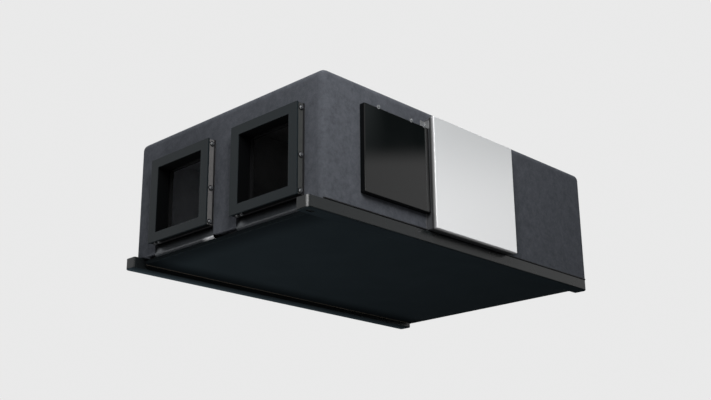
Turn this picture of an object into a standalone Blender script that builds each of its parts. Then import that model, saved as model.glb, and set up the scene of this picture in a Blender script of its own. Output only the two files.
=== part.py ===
# Ceiling-hung energy recovery ventilator: a low sheet-metal casing wrapped in felt, standing on two channel
# rails, with two square duct collars on each end, a service cover and a control box on the long front side.
# Metres, +Z up. The front is at -Y, the duct end that faces the viewer is at -X, and the rails stand on z = 0.

import bpy
import bmesh
from math import cos, pi, sin

# Body, over the felt
body_length = 1.200
body_width = 0.800
body_top = 0.400
felt = 0.025
felt_round = 0.022
felt_foot = 0.036
felt_slack = 0.008

# Channel rails along the lower edges
rail_width = 0.045
rail_height = 0.034
rail_sheet = 0.0025
rail_bend = 0.004
rail_corner = 0.010
rail_proud = 0.004
rail_flare = 0.010
rail_reach = 0.055
rail_tail = 0.026
rail_setback = 0.015
slot_width = 0.012
slot_length = 0.026

# Bottom pan between the rails
pan_level = 0.013
pan_sheet = 0.0015
pan_lip = 0.0115
pan_setback = 0.006
pan_margin = 0.011

# Casing plates, foam linings and exchanger block
wall = 0.012
lining = 0.015
divider = 0.020
chamber_depth = 0.240

# Duct collars: the opening, the frame round it and the neck behind the frame
duct = 0.200
frame_side = 0.0335
frame_rail = 0.028
frame_lip = 0.005
neck_step = 0.0018
collar_proud = 0.027
collar_sheet = 0.0015
collar_seat = 0.022
throat_depth = 0.040
duct_height = 0.187
duct_margin = 0.0695

# Folded apron below each collar
apron_sheet = 0.0015
apron_foot = 0.025
apron_bend = 0.008
apron_lean = 0.008
apron_setback = 0.001

# Service cover and control box on the front
cover_sheet = 0.0015
cover_edge = 0.003
service_left = 0.135
service_width = 0.263
service_foot = 0.082
service_drop = 0.066
service_depth = 0.018
box_left = 0.400
box_width = 0.368
box_drop = 0.032
box_depth = 0.036
lid_return = 0.018
bracket_sheet = 0.002
bracket_width = 0.020
bracket_height = 0.024
grommet_radius = 0.012
grommet_depth = 0.006
grommet_rise = 0.060
grommet_pitch = 0.060

# Clearance between pieces that touch
gap = 0.0003

# Places worked out from the sizes above; the origin is under the middle of the whole object
middle_x = (rail_reach - collar_proud) / 2
left = middle_x - body_length / 2
right = middle_x + body_length / 2
middle_y = (box_depth - rail_flare) / 2
front = middle_y - body_width / 2
back = middle_y + body_width / 2
felt_in_left = left + felt
felt_in_right = right - felt
felt_in_front = front + felt
felt_in_back = back - felt
casing_top = body_top - felt - gap
shell_front = felt_in_front + gap + wall + gap
shell_back = felt_in_back - gap - wall - gap
shell_left = felt_in_left + gap + wall + gap
shell_right = felt_in_right - gap - wall - gap
shell_roof = casing_top - wall - gap
shell_floor = rail_height + gap
web_front = front - rail_proud + rail_width
web_back = back + rail_flare - rail_width
pan_front = web_front + pan_margin
pan_back = web_back - pan_margin
collar_y = duct / 2 + frame_side
collar_z = duct / 2 + frame_rail
row_front = front + duct_margin + collar_y
row_back = (row_front + collar_y + back) / 2
duct_rows = {"front": row_front, "back": row_back}
hole_y = collar_y - neck_step - collar_seat
hole_z = collar_z - neck_step - collar_seat
ends = {"left": (left, 1), "right": (right, -1)}


def clear_scene():
    for old in list(bpy.data.objects):
        bpy.data.objects.remove(old, do_unlink=True)


def material(name, colour, roughness, metallic=0.0):
    made = bpy.data.materials.new(name)
    made.use_nodes = True
    shader = made.node_tree.nodes["Principled BSDF"]
    shader.inputs["Base Color"].default_value = (*colour, 1.0)
    shader.inputs["Roughness"].default_value = roughness
    shader.inputs["Metallic"].default_value = metallic
    return made


def finished(name, shape, finish, at=(0.0, 0.0, 0.0)):
    # Turns a bmesh into a named object with its faces pointing out.
    bmesh.ops.recalc_face_normals(shape, faces=shape.faces)
    mesh = bpy.data.meshes.new(name)
    shape.to_mesh(mesh)
    shape.free()
    mesh.materials.append(finish)
    made = bpy.data.objects.new(name, mesh)
    made.location = at
    bpy.context.scene.collection.objects.link(made)
    return made


def box_shape(size):
    shape = bmesh.new()
    bmesh.ops.create_cube(shape, size=1.0)
    bmesh.ops.scale(shape, vec=size, verts=shape.verts)
    return shape


def block(name, low, high, finish):
    size = [b - a for a, b in zip(low, high)]
    middle = [(a + b) / 2 for a, b in zip(low, high)]
    return finished(name, box_shape(size), finish, middle)


def prism(name, outline, axis, start, end, finish):
    # A flat outline carried along one axis. The outline's two numbers are the other two coordinates, in order.
    shape = bmesh.new()
    corners = []
    for first, second in outline:
        place = [first, second]
        place.insert(axis, start)
        corners.append(shape.verts.new(place))
    face = shape.faces.new(corners)
    moved = bmesh.ops.extrude_face_region(shape, geom=[face])
    step = [0.0, 0.0, 0.0]
    step[axis] = end - start
    grown = [v for v in moved["geom"] if isinstance(v, bmesh.types.BMVert)]
    bmesh.ops.translate(shape, vec=step, verts=grown)
    return finished(name, shape, finish)


def arc(centre, radius, start, end, steps):
    # Points of a round bend, from one angle to another in quarter turns.
    points = []
    for k in range(steps + 1):
        angle = (start + (end - start) * k / steps) * pi / 2
        points.append((centre[0] + radius * cos(angle), centre[1] + radius * sin(angle)))
    return points


def frame_loft(name, profile, face_x, inward, row, finish):
    # Four-cornered rings, one for each (half width, half height, depth) of a closed profile, bridged in turn.
    shape = bmesh.new()
    rings = []
    for half_y, half_z, depth in profile:
        x = face_x + inward * depth
        signs = ((-1, -1), (1, -1), (1, 1), (-1, 1))
        rings.append([shape.verts.new((x, row + a * half_y, duct_height + b * half_z)) for a, b in signs])
    for k, ring in enumerate(rings):
        following = rings[(k + 1) % len(rings)]
        for i in range(4):
            j = (i + 1) % 4
            shape.faces.new((ring[i], ring[j], following[j], following[i]))
    return finished(name, shape, finish)


def cut_away(target, cutter):
    cutter.hide_render = True
    cutter.display_type = "WIRE"
    step = target.modifiers.new("cut", "BOOLEAN")
    step.operation = "DIFFERENCE"
    step.solver = "EXACT"
    step.object = cutter


def sheet_tray(name, low, high, open_side, sheet, edge, finish):
    # A folded sheet tray: a box without the face on open_side, its edges rounded, thickened inwards.
    size = [b - a for a, b in zip(low, high)]
    middle = [(a + b) / 2 for a, b in zip(low, high)]
    shape = box_shape(size)
    axis, sign = open_side
    away = [f for f in shape.faces if f.normal[axis] * sign > 0.5]
    rim = {e for f in away for e in f.edges}
    bmesh.ops.delete(shape, geom=away, context="FACES_ONLY")
    folds = [e for e in shape.edges if e not in rim]
    bmesh.ops.bevel(shape, geom=folds, offset=edge, segments=3, profile=0.5, affect="EDGES")
    made = finished(name, shape, finish, middle)
    skin = made.modifiers.new("sheet", "SOLIDIFY")
    skin.thickness = sheet
    skin.offset = -1
    skin.use_even_offset = True
    return made


def rail(name, outer_y, side, start, end, finish):
    # A folded channel, open at the top and closed at its ends. side is +1 where it reaches towards +Y.
    far_y = outer_y + side * rail_width
    size = (end - start, rail_width, rail_height)
    shape = box_shape(size)
    lid = [f for f in shape.faces if f.normal.z > 0.5]
    rim = {e for f in lid for e in f.edges}
    bmesh.ops.delete(shape, geom=lid, context="FACES_ONLY")
    outer = -side * rail_width / 2
    upright = [e for e in shape.edges
               if e not in rim and all(abs(v.co.y - outer) < gap for v in e.verts)
               and abs(e.verts[0].co.z - e.verts[1].co.z) > gap]
    bmesh.ops.bevel(shape, geom=upright, offset=rail_corner, segments=5, profile=0.5, affect="EDGES")
    floor = -rail_height / 2
    folds = [e for e in shape.edges
             if all(abs(v.co.z - floor) < gap for v in e.verts)
             or (all(abs(v.co.y + outer) < gap for v in e.verts)
                 and abs(e.verts[0].co.z - e.verts[1].co.z) > gap)]
    bmesh.ops.bevel(shape, geom=folds, offset=rail_bend, segments=3, profile=0.5, affect="EDGES")
    middle = ((start + end) / 2, (outer_y + far_y) / 2, rail_height / 2)
    made = finished(name, shape, finish, middle)
    skin = made.modifiers.new("sheet", "SOLIDIFY")
    skin.thickness = rail_sheet
    skin.offset = -1
    skin.use_even_offset = True
    return made


def rails(finish):
    # Both rails run on past the casing at the left end only, and the front one has a slot there to hang it by.
    y = front - rail_proud
    made = rail("rail_front", y, 1, left - rail_reach, right - rail_setback, finish)
    radius = slot_width / 2
    run = slot_length / 2 - radius
    ring = arc((run, 0.0), radius, -1, 1, 8) + arc((-run, 0.0), radius, 1, 3, 8)
    slot = [(left - rail_reach / 2 + x, y + rail_width / 2 + across) for x, across in ring]
    cut_away(made, prism("rail_slot", slot, 2, -rail_sheet, 2 * rail_sheet, finish))
    rail("rail_back", back + rail_flare, -1, left - rail_tail, right, finish)


def bottom_pan(finish):
    low = (left + pan_setback, pan_front, pan_level)
    high = (right - pan_setback, pan_back, pan_level + pan_lip)
    return sheet_tray("bottom_pan", low, high, (2, 1), pan_sheet, 2 * pan_sheet, finish)


def casing(finish):
    low_x, high_x = felt_in_left + gap, felt_in_right - gap
    side_top = shell_roof
    front_y, back_y = felt_in_front + gap, felt_in_back - gap
    block("casing_front", (low_x, front_y, shell_floor), (high_x, front_y + wall, side_top), finish)
    block("casing_back", (low_x, back_y - wall, shell_floor), (high_x, back_y, side_top), finish)
    block("casing_top", (low_x, front_y, casing_top - wall), (high_x, back_y, casing_top), finish)
    floor_low = (shell_left, web_front + gap, pan_level + pan_lip + gap)
    floor_high = (shell_right, web_back - gap, shell_floor - gap)
    block("casing_floor", floor_low, floor_high, finish)
    for end, (face, inward) in ends.items():
        end_plate("casing_" + end, face + inward * (felt + gap), inward, finish)


def end_plate(name, face, inward, finish):
    # An end wall whose lower edge reaches down into the pan, with a square hole for each duct.
    tongue = pan_level + pan_sheet + gap
    inset = 2 * pan_sheet + gap
    front_y, back_y = pan_front + inset, pan_back - inset
    outline = [(front_y, tongue), (back_y, tongue), (back_y, shell_floor), (shell_back, shell_floor),
               (shell_back, shell_roof), (shell_front, shell_roof), (shell_front, shell_floor),
               (front_y, shell_floor)]
    made = prism(name, outline, 0, face, face + inward * wall, finish)
    for row, y in duct_rows.items():
        low = (min(face, face + inward * wall) - wall, y - hole_y, duct_height - hole_z)
        high = (max(face, face + inward * wall) + wall, y + hole_y, duct_height + hole_z)
        cut_away(made, block(name + "_hole_" + row, low, high, finish))
    return made


def chambers(foam):
    # Foam linings round the two duct chambers at each end. Returns the space left for the exchanger block.
    roof = shell_roof - gap
    low_z, high_z = shell_floor + lining, roof - lining
    between = (row_front + row_back) / 2
    for end, (face, inward) in ends.items():
        start = shell_left if inward > 0 else shell_right
        reach = start + inward * chamber_depth
        x0, x1 = min(start, reach), max(start, reach)
        block("foam_floor_" + end, (x0, shell_front, shell_floor), (x1, shell_back, low_z), foam)
        block("foam_roof_" + end, (x0, shell_front, high_z), (x1, shell_back, roof), foam)
        spans = {"foam_front_": (shell_front, shell_front + lining),
                 "foam_divider_": (between - divider / 2, between + divider / 2),
                 "foam_back_": (shell_back - lining, shell_back)}
        for name, (y0, y1) in spans.items():
            block(name + end, (x0, y0, low_z + gap), (x1, y1, high_z - gap), foam)
    low = (shell_left + chamber_depth + gap, shell_front, shell_floor)
    high = (shell_right - chamber_depth - gap, shell_back, roof)
    return low, high


def felt_long(name, outer_y, inward, finish):
    # A long felt panel with its outer upright edges, top edge and top ends rounded.
    low = (left, min(outer_y, outer_y + inward * felt), felt_foot)
    high = (right, max(outer_y, outer_y + inward * felt), body_top)
    size = [b - a for a, b in zip(low, high)]
    middle = [(a + b) / 2 for a, b in zip(low, high)]
    shape = box_shape(size)
    outer = outer_y - middle[1]
    top = size[2] / 2
    end = size[0] / 2

    def at(value, goal):
        return abs(value - goal) < gap

    chosen = []
    for edge in shape.edges:
        a, b = (v.co for v in edge.verts)
        upright = at(a.y, outer) and at(b.y, outer) and at(abs(a.x), end) and at(a.x, b.x)
        top_long = at(a.y, outer) and at(b.y, outer) and at(a.z, top) and at(b.z, top)
        top_end = at(a.z, top) and at(b.z, top) and at(a.x, b.x)
        if upright or top_long or top_end:
            chosen.append(edge)
    bmesh.ops.bevel(shape, geom=chosen, offset=felt_round, segments=6, profile=0.5, affect="EDGES")
    return finished(name, shape, finish, middle)


def felt_end(name, face, inward, finish):
    # An end panel, cut away round each collar down to its lower edge, with its top outer edge rounded.
    half = collar_y + felt_slack
    near, far = row_front, row_back
    y0, y1 = felt_in_front + gap, felt_in_back - gap
    crown = duct_height + collar_z + felt_slack
    outline = [(y0, felt_foot), (near - half, felt_foot), (near - half, crown), (near + half, crown),
               (near + half, felt_foot), (far - half, felt_foot), (far - half, crown), (far + half, crown),
               (far + half, felt_foot), (y1, felt_foot), (y1, body_top), (y0, body_top)]
    made = prism(name, outline, 0, face, face + inward * felt, finish)
    shape = bmesh.new()
    shape.from_mesh(made.data)
    chosen = [e for e in shape.edges
              if all(abs(v.co.z - body_top) < gap and abs(v.co.x - face) < gap for v in e.verts)]
    bmesh.ops.bevel(shape, geom=chosen, offset=felt_round, segments=6, profile=0.5, affect="EDGES")
    shape.to_mesh(made.data)
    shape.free()
    return made


def felt_wrap(finish):
    felt_long("felt_front", front, 1, finish)
    felt_long("felt_back", back, -1, finish)
    low = (felt_in_left + gap, felt_in_front + gap, body_top - felt)
    high = (felt_in_right - gap, felt_in_back - gap, body_top)
    block("felt_top", low, high, finish)
    for end, (face, inward) in ends.items():
        felt_end("felt_" + end, face, inward, finish)


def collar_profile():
    # (half width, half height, depth behind the front): the folded frame with its lip, then the neck behind it,
    # a step smaller all round, that runs back to the casing.
    sheet, step = collar_sheet, neck_step
    depth = collar_proud + felt
    inner = duct / 2
    line = [(0.0, 0.0, True), (0.0, 0.0, False), (0.0, frame_lip, False), (step, frame_lip, False),
            (step, depth, False), (step + sheet, depth, False), (step + sheet, sheet, False), (0.0, sheet, True)]
    return [(inner, inner, d) if inside else (collar_y - inset, collar_z - inset, d)
            for inset, d, inside in line]


def throat_profile():
    inner = duct / 2
    outer = inner + collar_sheet
    start = collar_sheet + gap
    return [(inner, inner, start), (outer, outer, start), (outer, outer, throat_depth),
            (inner, inner, throat_depth)]


def apron(name, face, inward, row, finish):
    # A folded sheet: a front that leans back above a round lip, and a foot that runs back to the casing.
    bend, sheet = apron_bend, apron_sheet
    inner = bend - sheet
    top = duct_height - collar_z - gap
    reach = felt - apron_setback
    centre = (bend, apron_foot + bend)
    outline = [(apron_lean, top)] + arc(centre, bend, 2, 3, 6)
    outline += [(reach, apron_foot), (reach, apron_foot + sheet)]
    outline += arc(centre, inner, 3, 2, 6)
    outline += [(apron_lean + sheet, top)]
    start = face + inward * apron_setback
    placed = [(start + inward * x, z) for x, z in outline]
    return prism(name, placed, 1, row - collar_y, row + collar_y, finish)


def ducts(paint, bare):
    for end, (face, inward) in ends.items():
        mouth = face - inward * collar_proud
        for row, y in duct_rows.items():
            tail = row + "_" + end
            frame_loft("collar_" + tail, collar_profile(), mouth, inward, y, paint)
            frame_loft("throat_" + tail, throat_profile(), mouth, inward, y, paint)
            apron("apron_" + tail, face, inward, y, bare)


def covers(black, white, grey, rubber):
    low = (left + service_left, front - service_depth, service_foot)
    high = (low[0] + service_width, front - gap, body_top - service_drop)
    sheet_tray("service_cover", low, high, (1, 1), cover_sheet, cover_edge, black)
    lid_low = (left + box_left, front - box_depth, felt_foot)
    lid_high = (lid_low[0] + box_width, front - box_depth + lid_return, body_top - box_drop)
    sheet_tray("control_cover", lid_low, lid_high, (1, 1), cover_sheet, cover_edge, white)
    inset = cover_sheet + gap
    box_low = (lid_low[0] + inset, front - box_depth + inset, felt_foot + inset)
    box_high = (lid_high[0] - inset, front - gap, lid_high[2] - inset)
    sheet_tray("control_box", box_low, box_high, (1, 1), cover_sheet, cover_edge, grey)
    bracket(box_low[0] - gap, high[2] + gap, grey)
    for k in range(2):
        height = felt_foot + grommet_rise + k * grommet_pitch
        depth_y = front - (box_depth - lid_return) / 2
        grommet("grommet_%d" % (k + 1), box_high[0] + gap, depth_y, height, rubber)


def bracket(right_x, foot_z, finish):
    # An angle that ties the service cover's upper corner to the control box.
    sheet = bracket_sheet
    x0 = right_x - bracket_width
    y1 = front - gap
    y0 = front - service_depth
    outline = [(x0, y1), (x0, y1 - sheet), (right_x - sheet, y1 - sheet), (right_x - sheet, y0),
               (right_x, y0), (right_x, y1)]
    return prism("cover_bracket", outline, 2, foot_z, foot_z + bracket_height, finish)


def grommet(name, face_x, y, z, finish):
    # A blanking grommet: a turned dome seated on the control box's side.
    limit = (box_depth - lid_return) / 2 - gap
    radius = min(grommet_radius, limit)
    shape = bmesh.new()
    profile = [(0.0, 0.0), (radius, 0.0), (radius, grommet_depth / 3)]
    profile += [(radius * cos(a), grommet_depth / 3 + grommet_depth * 2 / 3 * sin(a))
                for a in (pi / 8, pi / 4, 3 * pi / 8)]
    profile.append((0.0, grommet_depth))
    line = [shape.verts.new((x, r, 0.0)) for r, x in profile]
    edges = [shape.edges.new(pair) for pair in zip(line, line[1:])]
    bmesh.ops.spin(shape, geom=line + edges, cent=(0, 0, 0), axis=(1, 0, 0), angle=2 * pi, steps=20,
                   use_merge=True)
    bmesh.ops.remove_doubles(shape, verts=shape.verts, dist=0.00001)
    return finished(name, shape, finish, (face_x, y, z))


def build():
    clear_scene()
    felt_grey = material("felt_grey", (0.060, 0.063, 0.072), 0.95)
    dark_paint = material("dark_paint", (0.020, 0.026, 0.030), 0.45, 0.3)
    pan_paint = material("pan_paint", (0.012, 0.016, 0.020), 0.40, 0.3)
    bare_sheet = material("bare_sheet", (0.120, 0.120, 0.122), 0.35, 0.9)
    black_gloss = material("black_gloss", (0.008, 0.009, 0.010), 0.12)
    white_paint = material("white_paint", (0.720, 0.730, 0.745), 0.35)
    box_grey = material("box_grey", (0.300, 0.305, 0.310), 0.40, 0.5)
    foam_black = material("foam_black", (0.012, 0.012, 0.013), 0.90)
    rubber_black = material("rubber_black", (0.010, 0.010, 0.010), 0.80)
    rails(dark_paint)
    bottom_pan(pan_paint)
    casing(dark_paint)
    core_low, core_high = chambers(foam_black)
    block("exchanger_block", core_low, core_high, foam_black)
    felt_wrap(felt_grey)
    ducts(dark_paint, bare_sheet)
    covers(black_gloss, white_paint, box_grey, rubber_black)


build()
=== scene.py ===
# The look of a ceiling-hung energy recovery ventilator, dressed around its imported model. Metres, +Z up.
import math

import bmesh
import bpy
import numpy as np
from mathutils import Matrix, Vector


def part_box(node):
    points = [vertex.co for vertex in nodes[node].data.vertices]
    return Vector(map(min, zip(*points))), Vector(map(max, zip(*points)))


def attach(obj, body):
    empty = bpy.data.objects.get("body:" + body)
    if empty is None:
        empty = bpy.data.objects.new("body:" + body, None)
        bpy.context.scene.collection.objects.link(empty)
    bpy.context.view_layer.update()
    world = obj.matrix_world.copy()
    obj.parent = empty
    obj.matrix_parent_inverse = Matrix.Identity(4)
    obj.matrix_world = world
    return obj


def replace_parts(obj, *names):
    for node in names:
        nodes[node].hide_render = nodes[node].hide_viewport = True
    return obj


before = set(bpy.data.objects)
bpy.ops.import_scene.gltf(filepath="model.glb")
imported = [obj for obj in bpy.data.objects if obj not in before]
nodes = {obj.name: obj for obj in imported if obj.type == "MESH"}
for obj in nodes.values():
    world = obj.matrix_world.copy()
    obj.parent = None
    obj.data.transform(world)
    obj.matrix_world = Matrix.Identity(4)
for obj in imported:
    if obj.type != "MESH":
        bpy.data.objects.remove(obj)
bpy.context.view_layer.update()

print("frame loaded:", len(nodes), "nodes")


# Camera: the photograph looks up at the unit from its near lower corner
view = {
    "place": (-2.41077, -2.24818, -0.84676),
    "heading": 43.80,      # degrees from +X towards +Y
    "rise": 18.60,         # degrees above the horizon
    "roll": -0.56,
    "lens": 55.75,         # mm on a 36 mm sensor
}


def makeCamera():
    heading, rise, roll = (math.radians(view[key]) for key in ("heading", "rise", "roll"))
    ahead = Vector((math.cos(rise) * math.cos(heading), math.cos(rise) * math.sin(heading), math.sin(rise)))
    across = ahead.cross(Vector((0, 0, 1))).normalized()
    above = across.cross(ahead)
    right = across * math.cos(roll) + above * math.sin(roll)
    up = above * math.cos(roll) - across * math.sin(roll)
    lensData = bpy.data.cameras.new("camera")
    lensData.lens = view["lens"]
    lensData.sensor_width = 36.0
    lensData.clip_start = 0.05
    lensData.clip_end = 200.0
    camera = bpy.data.objects.new("camera", lensData)
    turn = Matrix((right, up, -ahead)).transposed().to_4x4()
    camera.matrix_world = Matrix.Translation(Vector(view["place"])) @ turn
    bpy.context.scene.collection.objects.link(camera)
    bpy.context.scene.camera = camera


makeCamera()


# Shader values: sums on a Value become Math nodes in the finish it belongs to
class Value:
    def __init__(self, finish, socket):
        self.finish = finish
        self.socket = socket

    def sum(self, operation, first, second=None):
        given = {i: v for i, v in enumerate((first, second)) if v is not None}
        return self.finish.node("ShaderNodeMath", {"operation": operation}, given)

    def __add__(self, other):
        return self.sum("ADD", self, other)

    def __radd__(self, other):
        return self.sum("ADD", other, self)

    def __sub__(self, other):
        return self.sum("SUBTRACT", self, other)

    def __rsub__(self, other):
        return self.sum("SUBTRACT", other, self)

    def __mul__(self, other):
        return self.sum("MULTIPLY", self, other)

    def __rmul__(self, other):
        return self.sum("MULTIPLY", other, self)

    def above(self, low):
        return self.sum("MAXIMUM", self, low)

    def below(self, high):
        return self.sum("MINIMUM", self, high)

    def size(self):
        return self.sum("ABSOLUTE", self)

    # another output of the same node
    def output(self, name):
        return Value(self.finish, self.socket.node.outputs[name])


# A material being built: node() makes any node, settings first, then its sockets by name or number
class Finish:
    def __init__(self, name, holder=None):
        self.holder = holder or bpy.data.materials.new(name)
        self.holder.use_nodes = True
        self.tree = self.holder.node_tree
        self.tree.nodes.clear()

    def node(self, kind, settings=None, sockets=None):
        made = self.tree.nodes.new(kind)
        for key, setting in (settings or {}).items():
            if key == "stops":
                self.setStops(made.color_ramp, setting)
            else:
                setattr(made, key, setting)
        for key, given in (sockets or {}).items():
            if isinstance(given, Value):
                self.tree.links.new(given.socket, made.inputs[key])
            else:
                made.inputs[key].default_value = given
        return Value(self, made.outputs[0]) if made.outputs else None

    def setStops(self, ramp, stops):
        while len(ramp.elements) < len(stops):
            ramp.elements.new(0.5)
        for element, (place, tone) in zip(ramp.elements, stops):
            element.position = place
            element.color = (*tone, 1.0) if isinstance(tone, tuple) else (tone, tone, tone, 1.0)

    # object coordinates, in metres from the unit's own origin
    def place(self):
        return self.node("ShaderNodeTexCoord").output("Object")

    def axis(self, name):
        return self.node("ShaderNodeSeparateXYZ", {}, {0: self.place()}).output(name)

    def stretched(self, scale):
        return self.node("ShaderNodeMapping", {}, {"Vector": self.place(), "Scale": scale})

    def noise(self, scale, detail=2.0, rough=0.5, where=None):
        given = {"Vector": where or self.place(), "Scale": scale, "Detail": detail, "Roughness": rough}
        return self.node("ShaderNodeTexNoise", {}, given)

    # from 0 at low to 1 at high, held outside them
    def step(self, value, low, high, smooth=True):
        kind = "SMOOTHSTEP" if smooth else "LINEAR"
        given = {"Value": value, "From Min": low, "From Max": high, "To Min": 0.0, "To Max": 1.0}
        return self.node("ShaderNodeMapRange", {"interpolation_type": kind}, given)

    # colour a where the mask is 0, colour b where it is 1
    def mix(self, mask, a, b, blend="MIX"):
        given = {0: mask}
        for key, tone in ((6, a), (7, b)):
            given[key] = tone if isinstance(tone, Value) else (*tone, 1.0)
        mixed = self.node("ShaderNodeMix", {"data_type": "RGBA", "blend_type": blend}, given)
        return Value(self, mixed.socket.node.outputs[2])

    def tint(self, colour, factor):
        grey = self.node("ShaderNodeCombineColor", {}, {0: factor, 1: factor, 2: factor})
        return self.mix(1.0, colour, grey, "MULTIPLY")

    # scaled by 1 to 1 + gain along each (axis, from, to, gain)
    def grade(self, tone, graded):
        for axis, start, end, gain in graded:
            tone = self.tint(tone, 1.0 + self.step(self.axis(axis), start, end) * gain)
        return tone

    def bump(self, height, depth, strength=1.0, under=None):
        given = {"Height": height, "Distance": depth, "Strength": strength}
        if under:
            given["Normal"] = under
        return self.node("ShaderNodeBump", {}, given)

    def principled(self, **sockets):
        named = {key.replace("_", " "): given for key, given in sockets.items()}
        shader = self.node("ShaderNodeBsdfPrincipled", {}, named)
        self.node("ShaderNodeOutputMaterial", {}, {"Surface": shader})
        return self.holder


# Needle felt: grey fibres, mottled in soft blotches, with pale and dark flecks, and a painted highlight along
# its near upright corner
feltLook = {
    "dark": (0.037, 0.040, 0.046),
    "light": (0.086, 0.091, 0.103),
    "cornerHighlightTone": (0.175, 0.182, 0.200),
    "fleckTone": (0.15, 0.157, 0.17),
    "pitTone": (0.040, 0.044, 0.052),
    "fleckShare": 0.35,
    "pitShare": 0.40,
    "cornerHighlightShare": 0.75,
    "cloud": 34.0,       # noise scales, per metre
    "blotch": 95.0,
    "fibre": 520.0,
    "fleck": 900.0,
    "cornerHighlightReach": (0.0055, 0.0055),
}


# A painted highlight's mask: 1 close to a corner, given by x and y or by x, y and z, falling to 0 at its
# reach along any of them
def cornerHighlight(finish, corner, reach):
    where = finish.node("ShaderNodeSeparateXYZ", {}, {0: finish.place()})
    paintedHighlight = 1.0
    for axis, at, far in zip("XYZ", corner, reach):
        paintedHighlight = (1.0 - finish.step((where.output(axis) - at).size(), far * 0.4, far)) * paintedHighlight
    return paintedHighlight


def feltGrey():
    finish = Finish("felt grey")
    blotches = finish.noise(feltLook["blotch"], 4.0, 0.62)
    clouds = finish.step(finish.noise(feltLook["cloud"], 3.0, 0.55), 0.32, 0.68, smooth=False)
    fibres = finish.noise(feltLook["fibre"], 3.0, 0.6, finish.stretched((1.0, 1.0, 0.45)))
    cross = finish.noise(feltLook["fibre"], 3.0, 0.6, finish.stretched((0.5, 0.5, 1.2)))
    flecks = finish.step(finish.noise(feltLook["fleck"], 1.0), 0.62, 0.74)
    pits = finish.step(finish.noise(feltLook["fibre"] * 0.45, 2.0), 0.60, 0.75)
    mottle = finish.step(blotches, 0.30, 0.70, smooth=False)
    weight = mottle * 0.40 + clouds * 0.30 + fibres * 0.20 + cross * 0.10
    tone = finish.mix(weight.below(1.0), feltLook["dark"], feltLook["light"])
    tone = finish.mix(flecks * feltLook["fleckShare"], tone, feltLook["fleckTone"])
    tone = finish.mix(pits * feltLook["pitShare"], tone, feltLook["pitTone"])
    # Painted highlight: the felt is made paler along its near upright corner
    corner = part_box("felt_front")[0]
    paintedHighlight = cornerHighlight(finish, (corner.x, corner.y), feltLook["cornerHighlightReach"])
    tone = finish.mix(paintedHighlight * feltLook["cornerHighlightShare"], tone, feltLook["cornerHighlightTone"])
    relief = finish.bump(fibres * 0.6 + cross * 0.4, 0.0007, 0.7)
    relief = finish.bump(blotches, 0.0012, 0.5, relief)
    return finish.principled(
        Base_Color=tone, Roughness=0.95, Normal=relief, Specular_IOR_Level=0.03,
        Sheen_Weight=0.06, Sheen_Roughness=0.6, Sheen_Tint=(0.75, 0.80, 0.95, 1.0))


paintLook = {
    "peel": 620.0,       # noise scales, per metre
    "haze": 9.0,
    "dust": 1500.0,
    "dustTone": (0.05, 0.055, 0.058),
    "highlightTone": (0.30, 0.30, 0.30),
}


# Dark powder coat: fine orange peel, a few duller patches and specks of dust. It may take a painted highlight
# at one corner, and painted shade or painted light along an axis.
def paint(name, colour, roughness, specular, dusty=0.25, highlightAt=None, graded=()):
    finish = Finish(name)
    peel = finish.noise(paintLook["peel"], 2.0)
    haze = finish.noise(paintLook["haze"], 3.0, 0.55)
    dust = finish.step(finish.noise(paintLook["dust"], 1.0), 0.68, 0.80)
    tone = finish.mix(dust * dusty, colour, paintLook["dustTone"])
    tone = finish.grade(finish.tint(tone, 0.88 + haze * 0.24), graded)
    # Painted highlight at one corner
    if highlightAt:
        paintedHighlight = cornerHighlight(finish, *highlightAt) * (0.55 + haze * 0.6).below(1.0)
        tone = finish.mix(paintedHighlight, tone, paintLook["highlightTone"])
    return finish.principled(
        Base_Color=tone, Roughness=roughness - 0.05 + haze * 0.10, Specular_IOR_Level=specular,
        IOR=1.45, Normal=finish.bump(peel, 0.0002, 0.30))


zincLook = {
    "spangle": 110.0,
    "rolling": 60.0,
    "highlightTone": (0.55, 0.56, 0.57),
}


# Zinc-coated sheet: faint rolling lines along one axis, and soft spangle; a painted highlight at one corner
# and painted shade or light along an axis, as the paint has
def zincSheet(name, colour, roughness, metal, rolled=(6.0, 0.4, 0.4), highlightAt=None, graded=()):
    finish = Finish(name)
    where = {"Vector": finish.place(), "Scale": zincLook["spangle"]}
    spangle = finish.node("ShaderNodeTexVoronoi", {}, where)
    grain = finish.node("ShaderNodeSeparateColor", {}, {0: spangle.output("Color")})
    rolling = finish.noise(zincLook["rolling"], 3.0, 0.6, finish.stretched(rolled))
    tone = finish.mix(rolling * 0.3, colour, tuple(0.8 * part for part in colour))
    tone = finish.grade(finish.tint(tone, 0.88 + grain * 0.16), graded)
    # Painted highlight at one corner
    if highlightAt:
        tone = finish.mix(cornerHighlight(finish, *highlightAt), tone, zincLook["highlightTone"])
    return finish.principled(
        Base_Color=tone, Roughness=roughness - 0.05 + rolling * 0.10, Metallic=metal,
        Normal=finish.bump(rolling, 0.0002, 0.25))


glossLook = {
    "ripple": 14.0,
    "smear": 5.0,
    "clean": (0.0008, 0.0010, 0.0010),
    "smeared": (0.0016, 0.0018, 0.0018),
}


# High-gloss black: almost a mirror, with the faint ripple of a moulded or polished sheet
def blackGloss():
    finish = Finish("black gloss")
    ripple = finish.noise(glossLook["ripple"], 1.0, 0.4)
    smear = finish.step(finish.noise(glossLook["smear"], 4.0, 0.6), 0.45, 0.75)
    return finish.principled(
        Base_Color=finish.mix(smear, glossLook["clean"], glossLook["smeared"]), IOR=1.425,
        Roughness=0.05 + smear * 0.02, Normal=finish.bump(ripple, 0.0004, 0.05))


enamelLook = {
    "peel": 420.0,
    "cloud": 4.0,
    "low": (0.94, 0.944, 0.95),
    "high": (0.955, 0.958, 0.962),
    "foldFrom": 0.0010,      # behind the front face
    "foldTo": 0.0130,
    "foldShade": 0.93,
}
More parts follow.
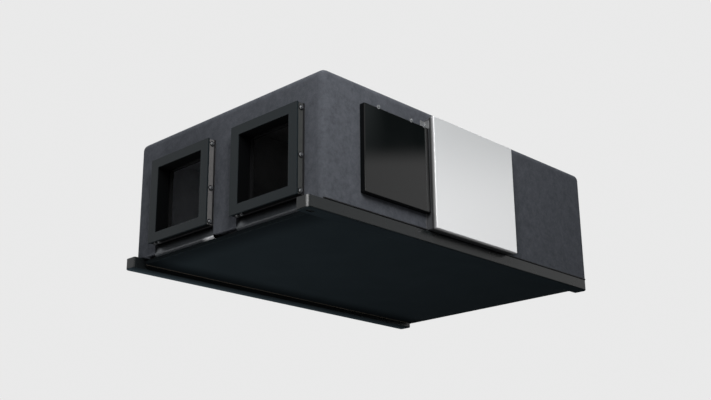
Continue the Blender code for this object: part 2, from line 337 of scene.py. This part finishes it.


# White enamel with a little pearl in it, which picks up the studio softly; painted shade on its folded edges,
# darker behind the front face
def whiteEnamel():
    finish = Finish("white enamel")
    peel = finish.noise(enamelLook["peel"], 2.0)
    cloud = finish.noise(enamelLook["cloud"], 3.0, 0.5)
    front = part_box("control_cover")[0].y
    start, end = front + enamelLook["foldFrom"], front + enamelLook["foldTo"]
    # Painted shade: darker behind the front face, on the folds
    behind = finish.step(finish.axis("Y"), start, end, smooth=False)
    tone = finish.mix(cloud, enamelLook["low"], enamelLook["high"])
    tone = finish.tint(tone, 1.0 - behind * enamelLook["foldShade"])
    return finish.principled(
        Base_Color=tone, Metallic=0.55, Roughness=0.26 + cloud * 0.05, Normal=finish.bump(peel, 0.00012, 0.2))


liningLook = {
    "cells": 420.0,
    "soft": 25.0,
    "rowSplit": (-0.004, 0.004),     # between the rows, in the divider
    "paintedLowShade": (0.26, 0.11),          # painted shade, from none at the first height down to full at the second
    "paintedLowShadeShare": 0.60,
}


# Matt foam or filter pad inside the ducts, open-celled; painted shade makes the front row dark, and darker
# low down, and painted light makes the back row light
def ductLining(name, dark, light):
    finish = Finish(name)
    cells = finish.node("ShaderNodeTexVoronoi", {}, {"Vector": finish.place(), "Scale": liningLook["cells"]})
    soft = finish.noise(liningLook["soft"], 3.0)
    rowSplit = finish.step(finish.axis("Y"), *liningLook["rowSplit"])
    front = finish.mix(finish.step(cells, 0.0, 0.5), dark, tuple(1.6 * part for part in dark))
    back = finish.mix(finish.step(cells, 0.0, 0.5), light, tuple(1.3 * part for part in light))
    paintedLowShade = finish.step(finish.axis("Z"), *liningLook["paintedLowShade"])
    front = finish.tint(front, 1.0 - paintedLowShade * liningLook["paintedLowShadeShare"])
    tone = finish.tint(finish.mix(rowSplit, front, back), 0.85 + soft * 0.3)
    return finish.principled(
        Base_Color=tone, Roughness=0.92, Specular_IOR_Level=0.1, Normal=finish.bump(cells, 0.0008, 0.5))


rubberLook = {
    "grain": 700.0,
    "dark": (0.006, 0.006, 0.007),
    "light": (0.016, 0.016, 0.017),
}


# Soft black rubber
def rubberBlack():
    finish = Finish("rubber black")
    grain = finish.noise(rubberLook["grain"], 2.0)
    return finish.principled(
        Base_Color=finish.mix(grain, rubberLook["dark"], rubberLook["light"]),
        Roughness=0.65, Specular_IOR_Level=0.3, Normal=finish.bump(grain, 0.0003, 0.3))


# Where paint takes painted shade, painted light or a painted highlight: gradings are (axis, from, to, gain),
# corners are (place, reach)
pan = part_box("bottom_pan")
rails = {side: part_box("rail_" + side) for side in ("front", "back")}
# Painted shade on the pan: darker towards its back edge and towards its left end
panShade = (("Y", pan[1].y - 0.095, pan[1].y - 0.006, -0.66), ("X", pan[0].x + 0.10, pan[0].x, -0.45))
# Painted light on the back rail's underside: lighter towards its outer edge
railUndersideLight = (("Y", rails["back"][0].y, rails["back"][1].y, 1.9),)
railShade = (("X", 0.1, rails["front"][1].x, -0.50),)
# Painted highlight at the front rail's left end corner
railFrontHighlight = ((rails["front"][0].x, rails["front"][0].y), (0.004, 0.012))
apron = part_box("apron_back_left")
# Painted light and shade on the aprons: lighter above the lip, darker again towards the top under the collar
apronLightAndShade = (("Z", apron[0].z + 0.0050, apron[0].z + 0.0140, 0.8),
              ("Z", apron[1].z - 0.0160, apron[1].z - 0.0040, -0.8))
# Painted highlight on the apron lip's end
apronLipHighlight = ((apron[0].x, apron[0].y, apron[0].z), (0.022, 0.055, 0.011))
# Painted highlight at the back rail's left end corner
railBackHighlight = ((rails["back"][0].x, rails["back"][1].y), (0.004, 0.006))

finishes = {
    "felt": feltGrey(),
    "collarPaint": paint("collar paint", (0.0062, 0.0098, 0.0118), 0.45, 0.22),
    # The back row's neck sheet is painted lighter than the front row's, as painted light
    "neckFront": zincSheet("neck sheet front", (0.055, 0.057, 0.055), 0.50, 0.2, (0.4, 0.4, 6.0)),
    "neckBackLit": zincSheet("neck sheet back", (0.145, 0.141, 0.140), 0.50, 0.2, (0.4, 0.4, 6.0)),
    # The throats' own near-black paint, also used as painted shadow on the necks' tops and bottoms
    "throatPaintAndShade": paint("throat paint", (0.0022, 0.0024, 0.0026), 0.60, 0.06, 0.0),
    "railFront": paint("rail paint front", (0.0100, 0.0118, 0.0125), 0.28, 0.40, 0.1, railFrontHighlight, railShade),
    "railBack": paint("rail paint back", (0.0100, 0.0118, 0.0125), 0.28, 0.40, 0.1, railBackHighlight),
    "panPaint": paint("pan paint", (0.0140, 0.0195, 0.0230), 0.60, 0.10, 0.0, None, panShade),
    "footPaint": paint("foot paint", (0.0140, 0.0195, 0.0230), 0.60, 0.10, 0.0),
    "footPaintBack": paint("foot paint back", (0.0140, 0.0195, 0.0230), 0.60, 0.10, 0.0, None, railUndersideLight),
    # Painted shade: the pan's faces that don't look down take this darker, duller paint
    "panSideShade": paint("pan side paint", (0.0060, 0.0080, 0.0090), 0.70, 0.02, 0.0),
    "apronSheet": zincSheet("apron sheet", (0.056, 0.061, 0.067), 0.36, 0.5, (6.0, 0.4, 0.4), apronLipHighlight,
                            apronLightAndShade),
    "feltCut": paint("felt cut", (0.060, 0.064, 0.072), 0.90, 0.05, 0.0),
    "hemSheet": zincSheet("hem sheet", (0.075, 0.066, 0.055), 0.45, 0.4),
    "screwZinc": zincSheet("screw zinc", (0.42, 0.43, 0.44), 0.26, 0.9),
    "blackGloss": blackGloss(),
    "whiteEnamel": whiteEnamel(),
    "boxSheet": zincSheet("box sheet", (0.11, 0.113, 0.12), 0.42, 0.4),
    "tabSheet": zincSheet("tab sheet", (0.30, 0.305, 0.31), 0.35, 0.6),
    # Painted shade: the casing's zinc sheet is made nearly black, as if all of it lay in shadow
    "casingShadeSheet": zincSheet("casing sheet", (0.006, 0.006, 0.0065), 0.60, 0.0),
    "lining": ductLining("duct lining", (0.155, 0.155, 0.157), (0.44, 0.45, 0.475)),
    "coreFace": ductLining("core face", (0.110, 0.110, 0.112), (0.130, 0.132, 0.138)),
    "rubber": rubberBlack(),
}
print("finishes:", len(finishes))


# Each node is shown as a merged copy of its solid with its long edges softened:
# the edge's width, the record's slot, and the finish
nodeLooks = {
    "collar": (0.0008, "dark_paint", "collarPaint"),
    "throat": (0.0004, "dark_paint", "throatPaintAndShade"),
    "apron": (0.0004, "bare_sheet", "apronSheet"),
    "bottom_pan": (0.0005, "pan_paint", "panPaint"),
    "rail_front": (0.0005, "dark_paint", "railFront"),
    "rail_back": (0.0005, "dark_paint", "railBack"),
    "service_cover": (0.0012, "black_gloss", "blackGloss"),
    "cover_bracket": (0.0004, "box_grey", "tabSheet"),
    "control_cover": (0.0012, "white_paint", "whiteEnamel"),
    "control_box": (0.0005, "box_grey", "boxSheet"),
    "casing": (0.0, "dark_paint", "casingShadeSheet"),
    "foam": (0.0, "foam_black", "lining"),
    "exchanger_block": (0.0, "foam_black", "coreFace"),
    "grommet": (0.0004, "rubber_black", "rubber"),
    "felt": (0.0, "felt_grey", "felt"),
}


meshLook = {
    "nodeMerge": 0.00002,
    "gridMerge": 0.000001,
    "flatAngle": 0.5,        # degrees
    "sharpAngle": 32.0,
    "bevelAngle": 40.0,
    "bevelSegments": 2,
}


def finishPiece(piece, finish):
    piece.data.materials.clear()
    piece.data.materials.append(finishes[finish])
    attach(piece, "root")
    return piece


def dressNode(name, width, slot, finish):
    work = bmesh.new()
    work.from_mesh(nodes[name].data)
    bmesh.ops.remove_doubles(work, verts=work.verts, dist=meshLook["nodeMerge"])
    flat = math.radians(meshLook["flatAngle"])
    bmesh.ops.dissolve_limit(work, angle_limit=flat, verts=work.verts, edges=work.edges)
    mesh = bpy.data.meshes.new(name + "_skin")
    work.to_mesh(mesh)
    work.free()
    mesh.shade_smooth()
    mesh.set_sharp_from_angle(angle=math.radians(meshLook["sharpAngle"]))
    piece = bpy.data.objects.new(name + "_skin", mesh)
    bpy.context.scene.collection.objects.link(piece)
    if width:
        bevel = piece.modifiers.new("soft edges", "BEVEL")
        bevel.width = width
        bevel.segments = meshLook["bevelSegments"]
        bevel.limit_method = "ANGLE"
        bevel.angle_limit = math.radians(meshLook["bevelAngle"])
        weighted = piece.modifiers.new("flat faces", "WEIGHTED_NORMAL")
        weighted.weight = 100
        weighted.keep_sharp = True
    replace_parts(finishPiece(piece, finish), name)
    return piece


neckStart = 0.0052      # behind the frame's face


# A collar's frame is painted, while the sides of its neck behind the frame are left bare. The back row's bare
# sides are painted lighter, as painted light, and the neck's top and bottom take the near-black throat paint
# as painted shadow
def bareNeck(piece, name):
    low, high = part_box(name)
    sign = 1.0 if low.x > 0 else -1.0
    mouth = high.x if sign > 0 else low.x
    piece.data.materials.append(finishes["neckFront" if "front" in name else "neckBackLit"])
    piece.data.materials.append(finishes["throatPaintAndShade"])
    middle = (low + high) / 2
    half = (high - low) / 2
    for face in piece.data.polygons:
        if (mouth - face.center.x) * sign > neckStart:
            upright = abs(face.center.y - middle.y) / half.y > 0.9
            face.material_index = 1 if upright else 2


# Faces that look down, or those that don't, take another paint
def paintUnderside(piece, finish, down):
    piece.data.materials.append(finishes[finish])
    for face in piece.data.polygons:
        face.material_index = int((face.normal.z < -0.7) == down)


# The cut ends of the felt beside the aprons are in deep shade
def darkenCuts(piece, low, high):
    piece.data.materials.append(finishes["feltCut"])
    for face in piece.data.polygons:
        inside = low.y + 0.001 < face.center.y < high.y - 0.001
        face.material_index = int(abs(face.normal.y) > 0.9 and inside)


linings = []
for name in sorted(nodes):
    prefix = next(key for key in nodeLooks if name.startswith(key))
    piece = dressNode(name, *nodeLooks[prefix])
    if nodeLooks[prefix][2] in ("lining", "coreFace"):
        linings.append(piece)
    if prefix == "collar":
        bareNeck(piece, name)
    if prefix == "rail_front":
        paintUnderside(piece, "footPaint", True)
    if prefix == "rail_back":
        paintUnderside(piece, "footPaintBack", True)
    if name in ("felt_left", "felt_right"):
        darkenCuts(piece, *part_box(name))
    # The pan's faces that don't look down are painted darker, as painted shade
    if prefix == "bottom_pan":
        paintUnderside(piece, "panSideShade", False)
print("nodes dressed")


# New pieces are grids of points, row by row, that close round on themselves and at both ends. A face's
# corners are this row's column and the next column, then the same two in the next row.
def gridFaces(rows, columns, first):
    row, column = np.meshgrid(np.arange(rows - 1), np.arange(columns), indexing="ij")
    after = (column + 1) % columns
    here, there = row * columns, (row + 1) * columns
    corners = (here + column, here + after, there + after, there + column)
    return np.stack(corners, -1).reshape(-1, 4) + first


def surfacePiece(name, grids, finish):
    points = np.concatenate([grid.reshape(-1, 3) for grid in grids])
    firsts = np.cumsum([0] + [grid.shape[0] * grid.shape[1] for grid in grids])
    faces = np.concatenate([gridFaces(*grid.shape[:2], first) for grid, first in zip(grids, firsts)])
    mesh = bpy.data.meshes.new(name)
    mesh.from_pydata(points.tolist(), [], faces.tolist())
    work = bmesh.new()
    work.from_mesh(mesh)
    bmesh.ops.remove_doubles(work, verts=work.verts, dist=meshLook["gridMerge"])
    bmesh.ops.recalc_face_normals(work, faces=work.faces)
    work.to_mesh(mesh)
    work.free()
    mesh.shade_smooth()
    mesh.set_sharp_from_angle(angle=math.radians(meshLook["sharpAngle"]))
    piece = bpy.data.objects.new(name, mesh)
    bpy.context.scene.collection.objects.link(piece)
    return finishPiece(piece, finish)


# Two directions square to outward
def crossing(outward):
    first = np.array((0.0, 0.0, 1.0)) if abs(outward[2]) < 0.9 else np.array((1.0, 0.0, 0.0))
    return first, np.cross(outward, first)


# A profile turned round an axis: point = seat + outward * height + radius * (u * cos(turn) + v * sin(turn)).
# Rows marked as hexagonal have radius * cos(30) / cos(turn from the middle of the nearest flat) instead.
def turnedGrid(seat, outward, profile, sides=24):
    seat, outward = np.array(seat), np.array(outward, float)
    u, v = crossing(outward)
    turn = np.linspace(0.0, 2 * math.pi, sides, endpoint=False)
    radius, height, hexagonal = (column[:, None] for column in np.array(profile, float).T)
    corner = math.cos(math.pi / 6) / np.cos(turn % (math.pi / 3) - math.pi / 6)
    reach = (radius * np.where(hexagonal > 0.5, corner, 1.0))[..., None]
    spoke = np.cos(turn)[:, None] * u + np.sin(turn)[:, None] * v
    return seat + outward * height[..., None] + reach * spoke


# A bead: a circle carried from start to end along a straight line, and drawn in to a point at both ends
def beadGrid(start, end, radius, sides=12):
    start, end = np.array(start, float), np.array(end, float)
    along = (end - start) / np.linalg.norm(end - start)
    u, v = crossing(along)
    turn = np.linspace(0.0, 2 * math.pi, sides, endpoint=False)
    path = np.stack((start, start, end, end))[:, None, :]
    swell = np.array((0.0, radius, radius, 0.0))[:, None, None]
    return path + swell * (np.cos(turn)[:, None] * u + np.sin(turn)[:, None] * v)


# A small plate: a rounded outline, x = a * cos(t) ^ (1/4) and y = b * sin(t) ^ (1/4) with their signs,
# drawn in a little at both faces and closed to their middles
def plateGrid(seat, outward, wide, tall, thick, soft=0.0004, sides=32):
    seat, outward = np.array(seat), np.array(outward, float)
    v, u = crossing(outward)
    turn = np.linspace(0.0, 2 * math.pi, sides, endpoint=False)
    x = np.sign(np.cos(turn)) * np.abs(np.cos(turn)) ** 0.25
    y = np.sign(np.sin(turn)) * np.abs(np.sin(turn)) ** 0.25
    inset = np.array((1.0, soft, 0.0, 0.0, soft, 1.0))[:, None]
    inset = np.where(inset == 1.0, max(wide, tall), inset)
    height = np.array((0.0, 0.0, soft, thick - soft, thick, thick))[:, None, None]
    a, b = np.maximum(wide / 2 - inset, 0.0), np.maximum(tall / 2 - inset, 0.0)
    return seat + outward * height + (a * x)[..., None] * u + (b * y)[..., None] * v


# A plain box: point = low + share * (high - low), where the shares run round the four corners at the bottom
# and at the top, and are drawn in to the middle of both faces to close them
def boxGrid(low, high):
    low, high = np.array(low), np.array(high)
    corner = np.array(((0.0, 0.0), (1.0, 0.0), (1.0, 1.0), (0.0, 1.0)))
    swell = np.array((0.0, 1.0, 1.0, 0.0))[:, None, None]
    share = np.empty((4, 4, 3))
    share[..., :2] = 0.5 + swell * (corner - 0.5)
    share[..., 2] = np.array((0.0, 0.0, 1.0, 1.0))[:, None]
    return low + share * (high - low)


screwLook = {
    # radius, height and whether hexagonal: a washer head with a hexagon and a dished top
    "head": ((0.0, 0.0, 0), (0.0052, 0.0, 0), (0.0058, 0.0004, 0), (0.0058, 0.0010, 0), (0.0052, 0.0014, 0),
             (0.0046, 0.0016, 1), (0.0046, 0.0038, 1), (0.0041, 0.0044, 1), (0.0028, 0.0044, 0),
             (0.0, 0.0038, 0)),
    "washer": ((0.0, 0.0, 0), (0.0076, 0.0, 0), (0.0080, 0.0004, 0), (0.0080, 0.0012, 0), (0.0074, 0.0016, 0),
               (0.0, 0.0016, 0)),
    "washerThick": 0.0016,
    "fromFelt": 0.0125,         # out from the felt, on the collar's neck
    "neckStep": 0.0018,
    "sideHeights": (0.300, 0.168, 0.070),
    "underPlaces": (0.018, 0.037),   # from the collar's far side
}


def collarScrews():
    heads, washers = [], []
    for end, sign in (("left", -1.0), ("right", 1.0)):
        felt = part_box("felt_" + end)
        x = (felt[1].x if sign > 0 else felt[0].x) + sign * screwLook["fromFelt"]
        for row in ("front", "back"):
            low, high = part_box("collar_%s_%s" % (row, end))
            step = screwLook["neckStep"]
            for y, out in ((low.y + step, -1.0), (high.y - step, 1.0)):
                for z in screwLook["sideHeights"]:
                    washers.append(turnedGrid((x, y, z), (0, out, 0), screwLook["washer"]))
                    seat = (x, y + out * screwLook["washerThick"], z)
                    heads.append(turnedGrid(seat, (0, out, 0), screwLook["head"]))
            for z, out in ((low.z + step, -1.0), (high.z - step, 1.0)):
                for back in screwLook["underPlaces"]:
                    heads.append(turnedGrid((x, high.y - back, z), (0, 0, out), screwLook["head"]))
    surfacePiece("collar_screws", heads, "screwZinc")
    surfacePiece("collar_washers", washers, "rubber")


shadeGasketLook = {
    "depth": 0.0050,       # out from the felt
    "proud": 0.0010,       # over the neck
    "sunk": 0.0006,        # into the neck
}


# A closed ring: the outline of a rectangle, drawn out by the profile's reach and carried to its height
def ringGrid(low, high, x, outward, profile):
    y = np.array((low.y, high.y, high.y, low.y))
    z = np.array((low.z, low.z, high.z, high.z))
    out = np.array(((-1, -1), (1, -1), (1, 1), (-1, 1)), float)
    reach, height = np.array(profile, float).T
    points = np.empty((len(profile), 4, 3))
    points[..., 0] = x + outward * height[:, None]
    points[..., 1] = y + reach[:, None] * out[:, 0]
    points[..., 2] = z + reach[:, None] * out[:, 1]
    return points


# A black rubber gasket round each neck at the felt: a seal that also stands in for the shadow between neck
# and felt, as painted shade
def collarShadeGaskets():
    depth, proud, sunk = (shadeGasketLook[key] for key in ("depth", "proud", "sunk"))
    profile = ((0.0, 0.0), (proud, 0.0), (proud, depth), (0.0, depth),
               (-sunk, depth), (-sunk, 0.0), (0.0, 0.0))
    rings = []
    for end, sign in (("left", -1.0), ("right", 1.0)):
        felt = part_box("felt_" + end)
        x = felt[1].x if sign > 0 else felt[0].x
        for row in ("front", "back"):
            low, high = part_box("collar_%s_%s" % (row, end))
            step = Vector((0.0, screwLook["neckStep"], screwLook["neckStep"]))
            rings.append(ringGrid(low + step, high - step, x, sign, profile))
    surfacePiece("collar_shade_gaskets", rings, "rubber")


rimLook = {
    "wide": 0.0095,        # from the collar
    "deep": 0.0200,
    "sunk": 0.0002,        # below the panel's face
}


# Felt fills the clearance beside and above each collar
def feltRims():
    wide, deep, sunk = (rimLook[key] for key in ("wide", "deep", "sunk"))
    rims = []
    for end, sign in (("left", -1.0), ("right", 1.0)):
        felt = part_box("felt_" + end)
        face = felt[1].x - sunk if sign > 0 else felt[0].x + sunk
        near, far = sorted((face, face - sign * deep))
        for row in ("front", "back"):
            low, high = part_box("collar_%s_%s" % (row, end))
            rims.append(boxGrid((near, low.y - wide, felt[0].z), (far, low.y, high.z + wide)))
            rims.append(boxGrid((near, high.y, felt[0].z), (far, high.y + wide, high.z + wide)))
            rims.append(boxGrid((near, low.y - sunk, high.z), (far, high.y + sunk, high.z + wide)))
    surfacePiece("felt_rims", rims, "felt")


coverLook = {
    "screwPlaces": (0.190, 0.323, 0.378),    # from the casing's left end
    "screwRise": 0.0020,        # above the cover's top edge
    "tabWide": 0.010,
    "tabTall": 0.009,
    "tabThick": 0.0015,
    "tabSunk": 0.0005,          # behind the cover's face
    "headSunk": 0.0007,
    "footWide": 0.007,
    "footDepth": 0.0012,
    "footSpare": 0.02,          # longer than the gap below the cover
}


# The service cover hangs on three little tabs, each with a screw, and the control box has a narrow flange
def coverFixings():
    low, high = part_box("service_cover")
    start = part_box("felt_front")[0].x
    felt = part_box("felt_front")[0].y
    tabSize = [coverLook[key] for key in ("tabWide", "tabTall", "tabThick")]
    heads, tabs = [], []
    for along in coverLook["screwPlaces"]:
        x, z = start + along, high.z + coverLook["screwRise"]
        tabSeat = (x, low.y + coverLook["tabSunk"], z)
        headSeat = (x, low.y + coverLook["headSunk"], z)
        tabs.append(plateGrid(tabSeat, (0, 1, 0), *tabSize))
        heads.append(turnedGrid(headSeat, (0, -1, 0), screwLook["head"]))
    surfacePiece("cover_tabs", tabs, "boxSheet")
    surfacePiece("cover_screws", heads, "screwZinc")
    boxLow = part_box("control_box")[0]
    seat = (boxLow.x - coverLook["footWide"] / 2, felt, (boxLow.z + low.z) / 2)
    tall = low.z - boxLow.z + coverLook["footSpare"]
    flange = plateGrid(seat, (0, -1, 0), coverLook["footWide"], tall, coverLook["footDepth"])
    surfacePiece("box_flange", [flange], "boxSheet")


shadeSealLook = {
    "radius": 0.0024,
    "fromEnd": 0.001,
}


# A black rubber bead, half sunk in the felt's lower edge along each rail, stands in for the shadow gap there
# as painted shade
def railShadeSeals():
    radius, short = shadeSealLook["radius"], shadeSealLook["fromEnd"]
    shadeSeals = []
    for side in ("front", "back"):
        low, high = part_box("felt_" + side)
        y = low.y if side == "front" else high.y
        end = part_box("rail_" + side)[1].x - short
        shadeSeals.append(beadGrid((low.x + short, y, low.z + radius), (end, y, low.z + radius), radius))
    surfacePiece("rail_shade_seals", shadeSeals, "rubber")


hemLook = {
    "radius": 0.0020,
    "fromEnd": 0.004,
    "outShare": 0.6,       # of the radius, past the pan's edge and above its underside
    "upShare": 0.5,
}


# The pan's back edge is rolled over a wire
def panHem():
    low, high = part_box("bottom_pan")
    radius, short = hemLook["radius"], hemLook["fromEnd"]
    y, z = high.y + radius * hemLook["outShare"], low.z + radius * hemLook["upShare"]
    bead = beadGrid((low.x + short, y, z), (high.x - short, y, z), radius)
    surfacePiece("pan_hem", [bead], "hemSheet")


collarScrews()
collarShadeGaskets()
feltRims()
coverFixings()
railShadeSeals()
panHem()
print("fixings made")


# Stage: a pale floor seen from above only, so that the view from below stays open
stage = {
    "pale": (0.82, 0.82, 0.82),
    "floorColour": (0.92, 0.92, 0.92),
    "floorSize": 60.0,
    "floorDrop": 0.001,
    "fadeFrom": 1.0,
    "fadeTo": 4.5,
    "shade": (0.70, 0.48),       # half sizes of the dark patch that glossy rays see under the unit
    "shadeSoft": 0.15,
    "fillAbove": (0.27, 0.275, 0.28),
    "fillBelow": (0.16, 0.163, 0.166),
    "fillTurn": 0.5,             # how far above and below the horizon one turns into the other
}


def makeWorld():
    world = bpy.data.worlds.new("studio")
    bpy.context.scene.world = world
    finish = Finish("studio", world)
    rays = finish.node("ShaderNodeLightPath")
    seen = (rays + rays.output("Is Glossy Ray") + rays.output("Is Transmission Ray")).below(1.0)
    heading = finish.node("ShaderNodeTexCoord").output("Generated")
    rise = finish.node("ShaderNodeSeparateXYZ", {}, {0: heading}).output("Z")
    turned = finish.step(rise, -stage["fillTurn"], stage["fillTurn"])
    sky = finish.mix(turned, stage["fillBelow"], stage["fillAbove"])
    fill = finish.node("ShaderNodeBackground", {}, {"Color": sky, "Strength": 1.0})
    backdrop = finish.node("ShaderNodeBackground", {}, {"Color": (*stage["pale"], 1.0), "Strength": 1.0})
    both = finish.node("ShaderNodeMixShader", {}, {0: seen, 1: fill, 2: backdrop})
    finish.node("ShaderNodeOutputWorld", {}, {"Surface": both})


def makeFloor():
    half = stage["floorSize"] / 2
    mesh = bpy.data.meshes.new("floor")
    low = -stage["floorDrop"]
    mesh.from_pydata([(-half, -half, low), (half, -half, low), (half, half, low), (-half, half, low)], [],
                     [(0, 1, 2, 3)])
    floor = bpy.data.objects.new("floor", mesh)
    bpy.context.scene.collection.objects.link(floor)
    finish = Finish("floor pale")
    far = finish.node("ShaderNodeVectorMath", {"operation": "LENGTH"}, {0: finish.place()}).output("Value")
    rays = finish.node("ShaderNodeLightPath")
    where = finish.node("ShaderNodeSeparateXYZ", {}, {0: finish.place()})
    pastX = where.output("X").size() - stage["shade"][0]
    pastY = where.output("Y").size() - stage["shade"][1]
    shade = (1.0 - finish.step(pastX.above(pastY), 0.0, stage["shadeSoft"])) * rays.output("Is Glossy Ray")
    tone = finish.mix(shade, stage["floorColour"], (0.0, 0.0, 0.0))
    paper = finish.node("ShaderNodeBsdfDiffuse", {}, {"Color": tone})
    glow = finish.node("ShaderNodeEmission", {}, {"Color": (*stage["pale"], 1.0), "Strength": 1.0})
    top = finish.node("ShaderNodeMixShader", {},
                      {0: finish.step(far, stage["fadeFrom"], stage["fadeTo"]), 1: paper, 2: glow})
    clear = finish.node("ShaderNodeBsdfTransparent")
    under = finish.node("ShaderNodeNewGeometry").output("Backfacing")
    both = finish.node("ShaderNodeMixShader", {}, {0: under, 1: top, 2: clear})
    finish.node("ShaderNodeOutputMaterial", {}, {"Surface": both})
    mesh.materials.append(finish.holder)
    floor.visible_diffuse = False
    floor.visible_shadow = False
    return floor


# A dark flag off to the right and above, which only shiny surfaces see, soft along its lower edge
flag = {
    "centre": (2.4, -2.95),
    "faces": (-0.3, -0.4),
    "across": 7.0,
    "low": 1.50,
    "high": 7.0,
    "softFrom": 1.56,
    "softTo": 1.72,
    "tone": (0.060, 0.078, 0.080),
    "glow": (0.38, 0.43, 0.44),
    "glowAlong": (-0.06, 0.14),    # measured from the centre, away from the camera's right
    "glowRise": (1.40, 2.00),
}


def makeFlag():
    away = Vector((*flag["centre"], 0.0)) - Vector((*flag["faces"], 0.0))
    side = away.cross(Vector((0, 0, 1))).normalized() * flag["across"] / 2
    base = Vector((*flag["centre"], 0.0))
    corners = [base - side, base + side, base + side, base - side]
    for corner, z in zip(corners, (flag["low"], flag["low"], flag["high"], flag["high"])):
        corner.z = z
    mesh = bpy.data.meshes.new("flag")
    mesh.from_pydata(corners, [], [(0, 1, 2, 3)])
    card = bpy.data.objects.new("flag", mesh)
    bpy.context.scene.collection.objects.link(card)
    finish = Finish("flag dark")
    sideways = side.normalized()
    along = finish.node("ShaderNodeVectorMath", {"operation": "DOT_PRODUCT"},
                        {0: finish.place(), 1: sideways}).output("Value") - base.dot(sideways)
    lit = finish.step(finish.axis("Z"), *flag["glowRise"], smooth=False)
    glow = finish.step(along, *flag["glowAlong"]) * lit
    dark = finish.node("ShaderNodeEmission", {}, {"Color": finish.mix(glow, flag["tone"], flag["glow"])})
    clear = finish.node("ShaderNodeBsdfTransparent")
    rise = finish.step(finish.axis("Z"), flag["softFrom"], flag["softTo"])
    both = finish.node("ShaderNodeMixShader", {}, {0: rise, 1: clear, 2: dark})
    finish.node("ShaderNodeOutputMaterial", {}, {"Surface": both})
    mesh.materials.append(finish.holder)
    card.visible_camera = False
    card.visible_diffuse = False
    card.visible_shadow = False


lamps = {
    "key": {"place": (-1.35, -1.50, 1.05), "aim": (-0.40, -0.25, 0.20), "size": (1.0, 1.0), "power": 37.0},
    "top": {"place": (0.0, 0.0, 3.4), "aim": (0.0, 0.0, 0.3), "size": (3.0, 2.4), "power": 68.0},
    "back": {"place": (2.4, 2.4, 1.2), "aim": (0.2, 0.2, 0.2), "size": (2.0, 1.6), "power": 45.0},
    "under": {"place": (-0.9, 0.5, -1.6), "aim": (-0.3, 0.0, 0.0), "size": (1.2, 1.2), "power": 19.0},
    "glint": {"place": (-2.60, -2.35, 1.10), "aim": (-0.58, -0.38, 0.1), "size": (0.30, 0.30), "power": 3.0},
    "rim": {"place": (-1.61, 1.30, -0.37), "aim": (-0.60, 0.05, 0.03), "size": (0.20, 0.20), "power": 1.5},
}
glossyLamps = ("glint", "rim")    # small, and seen in the metal
lowLamps = ("key", "back", "glint", "rim")


# The low lamps would burn a pool into the floor and a patch into the linings, so they leave both out
def makeLamps(floor):
    spared = bpy.data.collections.new("spared by the low lamps")
    for piece in (floor, *linings):
        spared.objects.link(piece)
    for held in spared.collection_objects:
        held.light_linking.link_state = "EXCLUDE"
    for name, lamp in lamps.items():
        data = bpy.data.lights.new(name, "AREA")
        data.shape = "RECTANGLE"
        data.size, data.size_y = lamp["size"]
        data.energy = lamp["power"]
        light = bpy.data.objects.new(name, data)
        light.location = lamp["place"]
        light.rotation_euler = (Vector(lamp["aim"]) - light.location).to_track_quat("-Z", "Y").to_euler()
        light.visible_camera = False
        light.visible_glossy = name in glossyLamps
        if name in lowLamps:
            light.light_linking.receiver_collection = spared
        bpy.context.scene.collection.objects.link(light)


makeWorld()
floor = makeFloor()
makeFlag()
makeLamps(floor)
bpy.context.scene.view_settings.view_transform = "Standard"

print("done")
